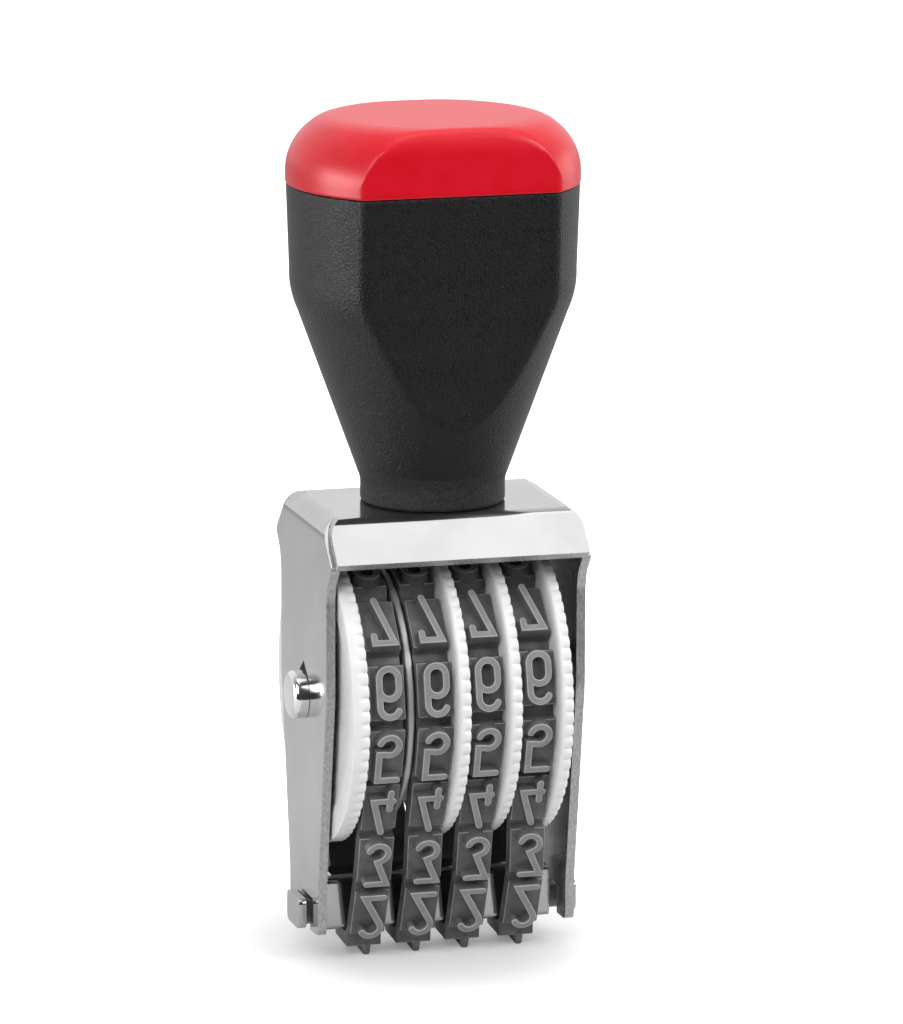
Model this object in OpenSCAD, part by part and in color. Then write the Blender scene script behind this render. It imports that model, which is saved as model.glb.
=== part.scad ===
// Four-band numbering stamp.
// +Z is up, the front is -Y, and X runs along the wheel axle. The origin lies in the
// middle of the printing faces, so Z = 0 is the paper.

/* [Frame] */
// Width over the two side plates
frame_w = 35; // [33:0.5:38]
// Thickness of the plated sheet
sheet_t = 1.2; // [1:0.1:1.4]
// Room between the wheels and the underside of the top
head_room = 4.4; // [4:0.1:6]
// Front to back depth of the flat top
top_depth = 20.6; // [20:0.2:23]
// Height of the slanted lips
lip_drop = 5; // [4:0.2:5.6]
// Distance from the end of a lip to the outside of the frame
lip_inset = 0.6; // [0.4:0.1:1]
// Outside radius of the bends between the top and the side plates
side_bend_r = 2; // [1.6:0.1:2.6]
// Outside radius of the bends between the top and the lips
lip_bend_r = 1.8; // [1.5:0.1:2.4]
// Distance from the end of a lip down to a side plate's widest corner
corner_drop = 0.8; // [0.6:0.1:1.2]
// Distance from there down to where the side plate is narrow
neck_drop = 3.9; // [3.4:0.1:4.6]
// Depth of a side plate at the axle
waist_depth = 23.4; // [22:0.2:25]
// Depth of a side plate at its foot
foot_depth = 14.4; // [13:0.2:16]
// Height at which the foot reaches its full width
foot_top = 10; // [9:0.5:12]
// Distance from the underside of the platen up to the feet
foot_lift = 0.4; // [0.2:0.1:0.8]

/* [Axle] */
// Height of the axle above the paper
axle_z = 35; // [34.6:0.1:35.6]
// Diameter of the axle
axle_d = 6.4; // [6:0.1:7]
// Length that stands out of each side plate
axle_stick = 2.1; // [1.5:0.1:2.4]
// Chamfer on the ends
axle_chamfer = 0.7; // [0.4:0.1:0.9]
// Depth of the grooves that sit in the side plates
groove_depth = 0.3; // [0.2:0.05:0.4]
// Height of the teardrop's point above the axle's middle
teardrop_h = 4.5; // [4.2:0.1:5.2]

/* [Number wheels] */
// Diameter over the serrations
rim_d = 39.2; // [38:0.2:40]
// Width of the rim
rim_w = 1.7; // [1.7:0.05:1.9]
// Serrations round a rim
rim_teeth = 72; // [48:12:84]
// Depth of the serrations
tooth_h = 0.5; // [0.3:0.1:0.7]
// Width of the serrations
serration_w = 1; // [0.8:0.05:1.1]
// Radius of the smooth shoulder beside the serrations
shoulder_r = 0.6; // [0.3:0.05:0.65]
// Length by which the leftmost wheel's rim stands out past its hub
end_lip = 0.5; // [0.3:0.1:0.6]
// Width of a whole wheel
wheel_w = 6.8; // [6.7:0.05:6.95]
// Diameter of the drum over its ribs
drum_d = 30.4; // [30:0.1:30.8]
// Height of the ribs on the drum
rib_h = 0.4; // [0.2:0.1:0.6]
// Width of the ribs on the drum
rib_w = 1.6; // [1:0.1:2.4]
// Wall of the drum
drum_wall = 1.5; // [1.2:0.1:2]
// Diameter of the hub
hub_d = 11.2; // [10:0.2:12.4]
// Thickness of the web between the hub and the drum
web_t = 1.1; // [0.8:0.1:1.4]
// Depth of the dish in the rim's outer side
dish_depth = 0.7; // [0.4:0.1:0.9]
// Width of the flat ring outside the dish
dish_margin = 3.2; // [2.6:0.1:3.6]

/* [Divider, washer and bush] */
// Diameter of the divider disc
disc_d = 33.8; // [33:0.1:34.6]
// Thickness of the divider disc
disc_t = 0.9; // [0.7:0.1:1.1]
// Thickness of the divider's boss
disc_boss_t = 0.6; // [0.4:0.1:0.8]
// Thickness of the thrust washer
thrust_t = 0.7; // [0.5:0.1:0.9]
// Outside diameter of the washer and the bush
collar_d = 10; // [9:0.2:12]

/* [Number bands] */
// Width of a band
band_w = 4.7; // [4.3:0.1:4.8]
// Thickness of the belt
belt_t = 0.9; // [0.8:0.05:1.1]
// Height of a pad above the belt
pad_t = 1.05; // [0.9:0.05:1.2]
// Length of a pad along the band
pad_len = 7.3; // [6.8:0.1:7.5]
// Height of the raised digits above their pads
relief = 1.25; // [1:0.05:1.5]
// Angle by which the pads lag in the middle of the drum, where the rubber is stretched
pad_lag = 2.8; // [0:0.2:3.6]
// Height of a digit
digit_h = 7.1; // [6.4:0.1:7.2]
// Width of a digit
digit_w = 3.4; // [3:0.1:3.8]
// Width of a digit's strokes
stroke = 0.85; // [0.7:0.05:1]

/* [Platen] */
// Front to back depth of the platen
platen_depth = 6.3; // [5.8:0.1:6.8]
// Height of the platen
platen_h = 7.4; // [6.4:0.2:8]
// Radius of the edges that the bands bend round
platen_edge_r = 0.8; // [0.6:0.1:1.2]
// Height of the tangs
tang_h = 4.2; // [3.6:0.1:4.8]
// Length that a tang stands out of its side plate
tang_stick = 1.5; // [1:0.1:1.8]
// Radius of a tang's corners
tang_r = 1.1; // [0.6:0.1:1.5]

/* [Handle] */
// Diameter of the neck
neck_d = 19; // [18:0.5:20]
// Height of the cylindrical neck
neck_h = 3; // [2:0.2:4]
// Height of the cone above the neck
cone_h = 25.1; // [24:0.1:26]
// Diameter where the cone meets the grip
shoulder_d = 37.3; // [36:0.1:38]
// Diameter of the grip at the cap
grip_d = 38.3; // [37.6:0.1:39.2]
// Height of the handle up to the cap
handle_h = 42.2; // [41:0.2:45]
// Distance from the ends of the frame's lips in to the flat faces at the cap
flat_inset = 1.3; // [0.8:0.1:2]
// Distance by which each flat face leans in from the cap to the shoulder
flat_lean = 0.8; // [0.4:0.1:1.2]
// Depth over the flat faces where they reach the frame
flat_foot_depth = 24; // [22:0.5:25]
// Radius that rounds the widest part of the cone
grip_r = 18; // [12:1:24]
// Chamfer under the neck
neck_chamfer = 0.6; // [0.3:0.1:1]

/* [Cap] */
// Height of the cap
cap_h = 9; // [8.6:0.1:10]
// Radius of the cap's round edge
cap_edge_r = 7.4; // [6:0.2:8]
// Radius of the edge above the flat faces
cap_flat_r = 2.4; // [1.6:0.2:3.4]
// Rise of the cap's crown
crown_h = 0.4; // [0.2:0.1:0.8]
// Diameter of the cap's spigot
spigot_d = 24; // [20:0.5:26]
// Length of the cap's spigot
spigot_h = 3; // [2:0.2:4]

/* [Handle screw] */
// Diameter of the screw
screw_d = 5; // [4:0.5:5]
// Length of the screw inside the handle
screw_len = 20; // [14:1:26]
// Diameter of the screw's head
head_d = 9; // [8:0.2:9.6]
// Height of the screw's head
head_h = 2.6; // [2:0.1:2.8]
// Diameter of its washer
head_washer_d = 11; // [10:0.2:12]
// Thickness of its washer
head_washer_t = 0.8; // [0.6:0.1:1]
// Diameter of the two pips that keep the handle from turning
pip_d = 2.4; // [2:0.1:3]
// Distance of the pips from the middle
pip_x = 6.9; // [6.6:0.1:7.4]

/* [Hidden] */

$fn = 64;
fit_gap = 0.05;          // radial gap of a pin in its hole
side_gap = 0.1;          // gap between neighbours along the axle
belt_gap = 0.3;          // gap between a belt and what it runs round
cut = 1;                 // length by which a cut passes through
ribs = 12;               // ribs round a drum
pads = 15;               // pads on a band

// Heights, from the paper upwards
base_t = belt_t + pad_t;
platen_z = relief + base_t + belt_gap;
foot_z = platen_z + foot_lift;
top_under = axle_z + rim_d/2 + head_room;
frame_top = top_under + sheet_t;
seam_z = frame_top + handle_h;
cap_top = seam_z + cap_h;
flat_depth = top_depth + 2*lip_drop - 2*flat_inset;

// Places along the axle, from the left side plate
inner_x = frame_w/2 - sheet_t;
thrust_x = -inner_x + side_gap;
wheel_1_x = thrust_x + thrust_t + side_gap;
disc_x = wheel_1_x + wheel_w + side_gap;
wheel_2_x = disc_x + disc_boss_t + disc_t + side_gap;
wheel_3_x = wheel_2_x + wheel_w + side_gap;
wheel_4_x = wheel_3_x + wheel_w + side_gap;
bush_x = wheel_4_x + wheel_w + side_gap;
bush_len = inner_x - side_gap - bush_x;
bore_r = axle_d/2 + fit_gap;

// Middle of each band: between its own rim and its neighbour
drum_room = wheel_w - rim_w;
disc_face_x = disc_x + disc_boss_t;
band_1_x = (wheel_1_x + rim_w + disc_face_x)/2;
band_2_x = wheel_2_x + (drum_room - side_gap)/2;
band_3_x = wheel_3_x + (drum_room - side_gap)/2;
band_4_x = wheel_4_x + (drum_room - side_gap)/2;

// The band's inner path: the drum's circle and the platen's two lower edges
belt_r = drum_d/2 + belt_gap;
edge_r = platen_edge_r + belt_gap;
edge_y = platen_depth/2 - platen_edge_r;
edge_z = platen_z + platen_edge_r;
edge_drop = axle_z - edge_z;
edge_dist = norm([edge_y, edge_drop]);
run_lean = asin((belt_r - edge_r)/edge_dist) - atan2(edge_y, edge_drop);
run_len = sqrt(pow(edge_dist, 2) - pow(belt_r - edge_r, 2));
run_turn = 90 - run_lean;
stretch = belt_t;        // height above the inner face at which the pitch is measured

function arc_len(r, angle) = r*angle*PI/180;
edge_len = arc_len(edge_r + stretch, run_turn);
half_loop = edge_y + edge_len + run_len + arc_len(belt_r + stretch, 180 - run_turn);
pad_pitch = 2*half_loop/pads;

// Outward normal and direction of travel of a band that has turned by t from its lowest face
function normal(t) = [-sin(t), -cos(t)];
function travel(t) = [-cos(t), sin(t)];

// Place on the front half of the path at distance s from the lowest face: [y, z, turn]
function front_place(s) =
    let (
        on_edge = s - edge_y,
        on_run = on_edge - edge_len,
        on_drum = on_run - run_len,
        edge_mid = [-edge_y, edge_z],
        edge_turn = on_edge/(edge_r + stretch)*180/PI,
        even = on_drum/(belt_r + stretch)*180/PI,
        drum_turn = run_turn + even - pad_lag*sin(180*even/(180 - run_turn)),
        p = s < edge_y ? [-s, edge_z - edge_r]
          : on_run < 0 ? edge_mid + edge_r*normal(edge_turn)
          : on_drum < 0 ? edge_mid + edge_r*normal(run_turn) + on_run*travel(run_turn)
          : [0, axle_z] + belt_r*normal(drum_turn),
        turn = s < edge_y ? 0 : on_run < 0 ? edge_turn : on_drum < 0 ? run_turn : drum_turn)
    [p[0], p[1], turn];

// Place anywhere on the path; the back half mirrors the front half
function place(s) =
    let (d = (s + 2*half_loop) % (2*half_loop))
    d <= half_loop ? front_place(d)
    : let (p = front_place(2*half_loop - d)) [-p[0], p[1], 360 - p[2]];

function unit(v) = v/norm(v);

// Arc of radius r that rounds the corner p between the directions of a and b
function fillet(a, p, b, r, steps=6) =
    let (
        u = unit(a - p),
        v = unit(b - p),
        half = acos(u*v)/2,
        c = p + unit(u + v)*r/sin(half),
        first = p + u*r/tan(half) - c,
        last = p + v*r/tan(half) - c,
        a0 = atan2(first[1], first[0]),
        turn = atan2(last[1], last[0]) - a0,
        sweep = turn > 180 ? turn - 360 : turn < -180 ? turn + 360 : turn)
    [for (i = [0:steps]) c + r*[cos(a0 + sweep*i/steps), sin(a0 + sweep*i/steps)]];

// The other half of an outline that is symmetric about the vertical axis
function mirrored(points) =
    concat(points, [for (i = [len(points) - 1:-1:0]) if (points[i][0] > 0) [-points[i][0], points[i][1]]]);

// A drawing in the YZ plane, extruded along X about the middle plane
module across(width) {
    rotate([90, 0, 90]) linear_extrude(width, center=true) children();
}

// A drawing in the YZ plane, extruded from X = 0 towards +X
module from_zero(width) {
    rotate([90, 0, 90]) linear_extrude(width) children();
}

// A profile of [radius, x] turned about the X axis
module turned(points) {
    rotate([0, 90, 0]) rotate_extrude() polygon(points);
}

// A collar on the axle that starts at x
module collar(x, length, d) {
    translate([x, 0, axle_z]) turned([
        [bore_r, 0], [d/2, 0], [d/2, length], [bore_r, length]]);
}

/* Frame */

// Side view of a side plate, behind the lips
module side_plate_outline() {
    shoulder_r = 0.5;
    hollow_r = 2.5;
    waist_r = 12;
    foot_r = 1;
    lip_line = top_depth/2 + frame_top - (sheet_t + fit_gap)*sqrt(2);
    corner_z = frame_top - lip_drop - corner_drop;
    top = [lip_line - frame_top, frame_top];
    corner = [lip_line - corner_z, corner_z];
    neck = [waist_depth/2, corner_z - neck_drop];
    bend = neck + [neck_drop/5, neck_drop/2];
    waist = [waist_depth/2, axle_z + axle_d/4];
    ankle = [foot_depth/2 + 0.1, foot_top];
    polygon(mirrored(concat(
        [top],
        fillet(top, corner, bend, shoulder_r, 3),
        fillet(corner, bend, neck, hollow_r, 3),
        [neck],
        fillet(neck, waist, ankle, waist_r, 4),
        [ankle],
        fillet(ankle, [foot_depth/2, foot_z], [0, foot_z], foot_r, 4))));
}

// Front view of the channel that the side plates and the top make
module channel_outline() {
    height = frame_top - foot_z;
    module rounded(w, h, r) {
        translate([-w/2, 0]) square([w, h - r]);
        translate([-w/2 + r, 0]) square([w - 2*r, h]);
        for (side = [-1, 1]) translate([side*(w/2 - r), h - r]) circle(r);
    }
    difference() {
        rounded(frame_w, height, side_bend_r);
        translate([0, -cut]) rounded(2*inner_x, height + cut - sheet_t, side_bend_r - sheet_t);
    }
}

// Side view of the top with its two slanted lips
module lips_outline() {
    outer = [top_depth/2, frame_top];
    inner = [top_depth/2 - sheet_t*tan(22.5), top_under];
    outer_end = outer + lip_drop*[1, -1];
    inner_end = outer_end - sheet_t/sqrt(2)*[1, 1];
    polygon(mirrored(concat(
        [[0, frame_top]],
        fillet([0, frame_top], outer, outer_end, lip_bend_r, 4),
        [outer_end, inner_end],
        fillet(inner_end, inner, [0, top_under], lip_bend_r - sheet_t, 4),
        [[0, top_under]])));
}

// Teardrop hole for the axle; the axle's groove rests on its lower edge
module axle_hole_outline() {
    hole_r = axle_d/2 + 2*fit_gap;
    hole_z = hole_r - (axle_d/2 - groove_depth) - fit_gap;
    side = acos(hole_r/(teardrop_h - hole_z));
    inside = 0.96;      // the point's sides start a little inside the circle
    translate([0, axle_z + hole_z]) {
        circle(hole_r);
        polygon([
            [0, teardrop_h - hole_z],
            inside*hole_r*[sin(side), cos(side)],
            [0, 0],
            inside*hole_r*[-sin(side), cos(side)]]);
    }
}

module frame() {
    notch_w = platen_depth + 2*fit_gap;
    notch_h = platen_z + tang_h + fit_gap;
    color("gainsboro") difference() {
        union() {
            intersection() {
                rotate([90, 0, 0]) translate([0, foot_z, 0])
                    linear_extrude(2*waist_depth, center=true) channel_outline();
                across(frame_w + cut) side_plate_outline();
            }
            across(frame_w - 2*lip_inset) lips_outline();
        }
        across(frame_w + cut) {
            axle_hole_outline();
            translate([-notch_w/2, 0]) square([notch_w, notch_h]);
        }
        translate([0, 0, top_under - cut]) {
            cylinder(h=sheet_t + 2*cut, d=screw_d + 4*fit_gap);
            for (side = [-1, 1]) translate([side*pip_x, 0, 0])
                cylinder(h=sheet_t + 2*cut, d=pip_d + 2*fit_gap);
        }
    }
}

/* Platen */

module platen_bar() {
    bar_len = 2*(inner_x - fit_gap);
    tang_len = frame_w + 2*tang_stick;
    tang_z = foot_z;
    tang_top = platen_z + tang_h;
    half = platen_depth/2;
    bar_top = platen_z + platen_h;
    top_r = 1.2;
    color("silver") union() {
        across(bar_len) polygon(mirrored(concat(
            fillet([0, bar_top], [half, bar_top], [half, platen_z], top_r, 4),
            fillet([half, bar_top], [half, platen_z], [0, platen_z], platen_edge_r, 4))));
        across(tang_len) polygon(mirrored(concat(
            [[half, tang_top]],
            fillet([half, tang_top], [half, tang_z], [0, tang_z], tang_r, 4))));
    }
}

/* Axle and what runs on it */

module wheel_axle() {
    half = frame_w/2 + axle_stick;
    r = axle_d/2;
    groove_r = r - groove_depth;
    groove_in = inner_x - side_gap/2;
    groove_out = frame_w/2 + side_gap/2;
    color("silver") translate([0, 0, axle_z]) turned([
        [0, -half], [r - axle_chamfer, -half], [r, axle_chamfer - half],
        [r, -groove_out], [groove_r, -groove_out], [groove_r, -groove_in], [r, -groove_in],
        [r, groove_in], [groove_r, groove_in], [groove_r, groove_out], [r, groove_out],
        [r, half - axle_chamfer], [r - axle_chamfer, half], [0, half]]);
}

// Outline of the serrations: flat-topped teeth whose flanks run on below the rim's surface
module serration_outline() {
    tip_r = rim_d/2;
    low_r = tip_r - 2*tooth_h;
    step = 360/rim_teeth;
    valley = 0.12;      // share of a step between the feet of two teeth
    flank = 0.24;       // share of a step on each flank of a tooth
    tooth = [[low_r, 0], [low_r, valley], [tip_r, valley + flank], [tip_r, 1 - flank]];
    polygon([for (i = [0:rim_teeth - 1], k = tooth) k[0]*[cos((i + k[1])*step), sin((i + k[1])*step)]]);
}

// A wheel with its drum at X = 0 and its rim on the right. The serrations are at the rim's
// right end, or beside the drum where the rim has a smooth lip past the hub.
module number_wheel(lip=0) {
    rim_x = wheel_w - rim_w;
    rim_end = wheel_w + lip;
    root_r = rim_d/2 - tooth_h;
    hub_r = hub_d/2;
    wall_r = drum_d/2 - rib_h;
    hollow_r = wall_r - drum_wall;
    hollow_x = wheel_w - dish_depth - web_t;
    dish_r = rim_d/2 - dish_margin;
    serration_x = lip > 0 ? rim_x : rim_end - serration_w;
    rim = lip > 0
        ? concat([[root_r, rim_x]],
            fillet([root_r, rim_x], [root_r, rim_end], [dish_r, rim_end], shoulder_r, 4))
        : concat(fillet([wall_r, rim_x], [root_r, rim_x], [root_r, rim_end], shoulder_r, 4),
            [[root_r, rim_end]]);
    color("white") translate([0, 0, axle_z]) {
        turned(concat([
            [bore_r, 0], [hub_r, 0], [hub_r, hollow_x], [hollow_r, hollow_x],
            [hollow_r, side_gap], [wall_r, side_gap], [wall_r, rim_x]],
            rim, [
            [dish_r, rim_end], [dish_r - dish_depth - lip, wheel_w - dish_depth],
            [hub_r, wheel_w - dish_depth], [hub_r, wheel_w], [bore_r, wheel_w]]));
        translate([serration_x, 0, 0]) from_zero(serration_w) difference() {
            serration_outline();
            circle(root_r - 2*tooth_h);
        }
        for (i = [0:ribs - 1]) rotate([(i + 0.5)*360/ribs, 0, 0])
            translate([side_gap, -rib_w/2, wall_r - drum_wall/2])
                cube([rim_x - side_gap, rib_w, rib_h + drum_wall/2]);
    }
}

module wheel_at(x) {
    translate([x, 0, 0]) number_wheel();
}

// The leftmost wheel faces the other way, with its rim on the left
module flipped_wheel_at(x) {
    translate([x + wheel_w, 0, 0]) mirror([1, 0, 0]) number_wheel(end_lip);
}

module divider_disc() {
    color("darkgray") translate([disc_x, 0, axle_z]) turned([
        [bore_r, 0], [collar_d/2, 0], [collar_d/2, disc_boss_t],
        [disc_d/2 - 0.2, disc_boss_t], [disc_d/2, disc_boss_t + 0.2],
        [disc_d/2, disc_boss_t + disc_t - 0.2], [disc_d/2 - 0.2, disc_boss_t + disc_t],
        [bore_r, disc_boss_t + disc_t]]);
}

module thrust_washer() {
    color("silver") collar(thrust_x, thrust_t, collar_d);
}

module spacer_bush() {
    color("white") collar(bush_x, bush_len, collar_d);
}

/* Digits, drawn upright about their middle */

// Straight stroke with round ends, which stand out a little past its sides
module bar(a, b) {
    along = b - a;
    w = 0.97*stroke;
    translate(a) rotate(atan2(along[1], along[0])) translate([0, -w/2])
        square([norm(along), w]);
    translate(a) circle(d=stroke);
    translate(b) circle(d=stroke);
}

// Curved stroke about c from angle a0 to angle a1, with round ends
module bow(c, r, a0, a1) {
    sector = [for (i = [0:6]) let (a = a0 + (a1 - a0)*i/6) 2*r*[cos(a), sin(a)]];
    translate(c) {
        intersection() {
            difference() {
                circle(r + stroke/2);
                circle(r - stroke/2);
            }
            polygon(concat([[0, 0]], sector));
        }
        for (a = [a0, a1]) translate(r*[cos(a), sin(a)]) circle(d=stroke);
    }
}

dx = (digit_w - stroke)/2;      // from the middle to the middle of an upright stroke
dy = (digit_h - stroke)/2;      // from the middle to the middle of the top stroke

module digit_0() {
    bow([0, dy - dx], dx, 0, 180);
    bow([0, dx - dy], dx, 180, 360);
    bar([-dx, dx - dy], [-dx, dy - dx]);
    bar([dx, dx - dy], [dx, dy - dx]);
}

module digit_1() {
    stem = dx*0.3;
    bar([stem, -dy], [stem, dy]);
    bar([stem, dy], [stem - dx, dy - dx]);
}

module digit_2() {
    bow([0, dy - dx], dx, -30, 150);
    bar(dx*[cos(30), -0.5] + [0, dy - dx], [-dx, -dy]);
    bar([-dx, -dy], [dx, -dy]);
}

module digit_3() {
    bar([-dx, dy], [dx, dy]);
    bar([dx, dy], [0, dx - dy + dx]);
    bow([0, dx - dy], dx, -150, 90);
}

module digit_4() {
    foot = 0.42*dy;
    arm_y = foot - dy;
    stem = 0.7*dx;
    bar([0, dy], [-dx, arm_y]);
    bar([-dx, arm_y], [dx, arm_y]);
    bar([stem, arm_y + foot], [stem, -dy]);
}

module digit_5() {
    bar([dx, dy], [-dx, dy]);
    bar([-dx, dy], [-dx, dx - dy + dx]);
    bar([-dx, dx - dy + dx], [0, dx - dy + dx]);
    bow([0, dx - dy], dx, -150, 90);
}

module digit_6() {
    difference() {
        translate([0, dx - dy]) circle(dx + stroke/2);
        translate([0, dx - dy]) circle(dx - stroke/2);
    }
    bar([-dx, dx - dy], [-dx, dy - dx]);
    bow([0, dy - dx], dx, 30, 180);
}

module digit_7() {
    bar([-dx, dy - 1.3*stroke], [-dx, dy]);
    bar([-dx, dy], [dx, dy]);
    bar([dx, dy], [-dx/3, -dy]);
}

module digit_8() {
    for (side = [-1, 1]) translate([0, side*(dy - dx)]) difference() {
        circle(dx + stroke/2);
        circle(dx - stroke/2);
    }
}

module digit_9() {
    rotate(180) digit_6();
}

module digit(n) {
    if (n == 0) digit_0();
    if (n == 1) digit_1();
    if (n == 2) digit_2();
    if (n == 3) digit_3();
    if (n == 4) digit_4();
    if (n == 5) digit_5();
    if (n == 6) digit_6();
    if (n == 7) digit_7();
    if (n == 8) digit_8();
    if (n == 9) digit_9();
}

/* Bands */

// Inner face of a belt: round the drum and the platen's lower edges
function belt_points(edge_steps=6, drum_steps=18) = mirrored(concat(
    [for (i = [0:edge_steps]) let (a = run_turn*i/edge_steps)
        [edge_y, edge_z] + edge_r*[sin(a), -cos(a)]],
    [for (i = [0:drum_steps]) let (a = run_turn + (180 - run_turn)*i/drum_steps)
        [0, axle_z] + belt_r*[i < drum_steps ? sin(a) : 0, -cos(a)]]));

// Point on the outer face of a belt at distance s
function outer_point(s) = let (p = place(s)) [p[0], p[1]] + belt_t*normal(p[2]);

// Side view of the pad at distance s: up from the belt, along its flat top and down again
function pad_points(s) =
    let (
        p = place(s),
        top = [p[0], p[1]] + base_t*normal(p[2]),
        half = pad_len/2*travel(p[2]))
    [outer_point(s - pad_len/2), top - half, top + half, outer_point(s + pad_len/2)];

// A digit that rises from a pad whose top is at Z = 0; it prints the right way round
module raised_digit(n) {
    root = belt_t/3;
    translate([0, 0, -root]) linear_extrude(relief + root) mirror([0, 1]) digit(n);
}

// The lowest pad prints 1; the digits rise along the front and end with 0,
// and the remaining pads are blank
module number_band(x) {
    color("dimgray") translate([x, 0, 0]) {
        across(band_w) difference() {
            polygon([for (i = [0:pads - 1]) each pad_points(i*pad_pitch)]);
            polygon(belt_points());
        }
        for (i = [0:9]) {
            p = place(i*pad_pitch);
            top = [p[0], p[1]] + base_t*normal(p[2]);
            translate([0, top[0], top[1]]) rotate([180 - p[2], 0, 0])
                raised_digit((i + 1) % 10);
        }
    }
}

/* Handle */

// Side view of the handle's two flat faces
module flats_outline() {
    knee = [flat_depth/2 - flat_lean, frame_top + neck_h + cone_h];
    top = [flat_depth/2, seam_z];
    foot = [flat_foot_depth/2, frame_top];
    knee_r = 60;
    polygon(mirrored(concat([top], fillet(top, knee, foot, knee_r, 4), [foot])));
}

module handle_body() {
    r = neck_d/2;
    neck_r = 6;
    neck_top = [r, frame_top + neck_h];
    shoulder = [shoulder_d/2, frame_top + neck_h + cone_h];
    grip = [grip_d/2, seam_z];
    color([0.13, 0.13, 0.14]) difference() {
        union() {
            intersection() {
                rotate_extrude() polygon(concat(
                    [[0, frame_top], [r - neck_chamfer, frame_top], [r, frame_top + neck_chamfer]],
                    fillet([r, frame_top], neck_top, shoulder, neck_r, 3),
                    fillet(neck_top, shoulder, grip, grip_r, 5),
                    [grip, [0, seam_z]]));
                across(grip_d + cut) flats_outline();
            }
            for (side = [-1, 1]) translate([side*pip_x, 0, top_under + fit_gap])
                cylinder(h=sheet_t + cut, d=pip_d);
        }
        translate([0, 0, seam_z - spigot_h - side_gap]) cylinder(h=spigot_h + cut, d=spigot_d + 4*fit_gap);
        translate([0, 0, frame_top - cut]) cylinder(h=screw_len + 2*cut, d=screw_d + 2*fit_gap);
    }
}

module handle_cap() {
    proud = 0.1;        // how far the cap stands proud of the handle
    r = grip_d/2 + proud;
    half = flat_depth/2 + proud;
    rim_z = cap_top - crown_h/2;
    crown_r = (r*r + crown_h*crown_h)/(2*crown_h);
    color([0.85, 0.07, 0.15]) union() {
        intersection() {
            rotate_extrude() polygon(concat(
                [[0, seam_z], [r, seam_z]],
                fillet([r, seam_z], [r, rim_z], [0, cap_top], cap_edge_r, 8),
                [[0, cap_top + proud]]));
            across(grip_d + cut) polygon(mirrored(concat(
                [[half, seam_z]],
                fillet([half, seam_z], [half, rim_z], [0, cap_top], cap_flat_r, 5),
                [[0, cap_top + proud]])));
            translate([0, 0, cap_top - crown_r]) sphere(crown_r, $fn=200);
        }
        translate([0, 0, seam_z - spigot_h]) cylinder(h=spigot_h + cut, d=spigot_d);
    }
}

module handle_screw() {
    head_top = top_under - head_washer_t;
    head_low = head_top - head_h;
    head_r = 1.4;
    point = 1.5;
    end = frame_top + screw_len;
    color("silver") rotate_extrude() polygon(concat(
        [[0, head_low]],
        fillet([0, head_low], [head_d/2, head_low], [head_d/2, head_top], head_r, 4),
        [[head_d/2, head_top], [screw_d/2, head_top]],
        [[screw_d/2, end - point], [screw_d/2 - point, end], [0, end]]));
}

module screw_washer() {
    color("silver") translate([0, 0, top_under - head_washer_t]) difference() {
        cylinder(h=head_washer_t, d=head_washer_d);
        translate([0, 0, -cut]) cylinder(h=head_washer_t + 2*cut, d=screw_d + 4*fit_gap);
    }
}

frame();
platen_bar();
wheel_axle();
flipped_wheel_at(wheel_1_x);  // number_wheel_1
wheel_at(wheel_2_x);  // number_wheel_2
wheel_at(wheel_3_x);  // number_wheel_3
wheel_at(wheel_4_x);  // number_wheel_4
number_band(band_1_x);  // number_band_1
number_band(band_2_x);  // number_band_2
number_band(band_3_x);  // number_band_3
number_band(band_4_x);  // number_band_4
divider_disc();
thrust_washer();
spacer_bush();
handle_body();
handle_cap();
handle_screw();
screw_washer();
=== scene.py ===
"""Four-band numbering stamp: the looks around its frame."""

import math

import bmesh
import bpy
from mathutils import Matrix, Vector


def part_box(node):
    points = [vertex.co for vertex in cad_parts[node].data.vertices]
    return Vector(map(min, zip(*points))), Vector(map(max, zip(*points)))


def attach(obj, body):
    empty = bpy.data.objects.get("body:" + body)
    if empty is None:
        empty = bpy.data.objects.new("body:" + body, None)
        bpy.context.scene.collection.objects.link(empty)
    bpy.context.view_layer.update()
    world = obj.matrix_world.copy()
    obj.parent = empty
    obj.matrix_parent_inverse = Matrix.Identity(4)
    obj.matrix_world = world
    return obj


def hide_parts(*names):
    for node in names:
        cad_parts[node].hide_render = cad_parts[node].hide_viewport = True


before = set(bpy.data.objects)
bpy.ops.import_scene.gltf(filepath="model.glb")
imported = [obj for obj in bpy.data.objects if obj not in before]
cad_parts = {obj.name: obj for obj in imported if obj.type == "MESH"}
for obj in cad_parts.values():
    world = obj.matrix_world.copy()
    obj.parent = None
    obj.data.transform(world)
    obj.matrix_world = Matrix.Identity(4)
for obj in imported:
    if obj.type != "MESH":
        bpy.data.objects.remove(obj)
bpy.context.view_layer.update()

# Sizes in millimetres, in the frame's own axes
MM = 0.001
X, Y, Z = range(3)
AXLE_Z = 35.0
FRAME_W = 35.0
SHEET = 1.2
FRAME_TOP = 60.2
INNER_X = FRAME_W / 2 - SHEET
TOP_UNDER = FRAME_TOP - SHEET
NECK_R = 9.5
NECK_TOP = 63.2
SHOULDER_R = 18.65
SHOULDER_Z = 88.3
GRIP_R = 19.15
SEAM_Z = 102.4


# ---------------------------------------------------------------- shader maths

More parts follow.
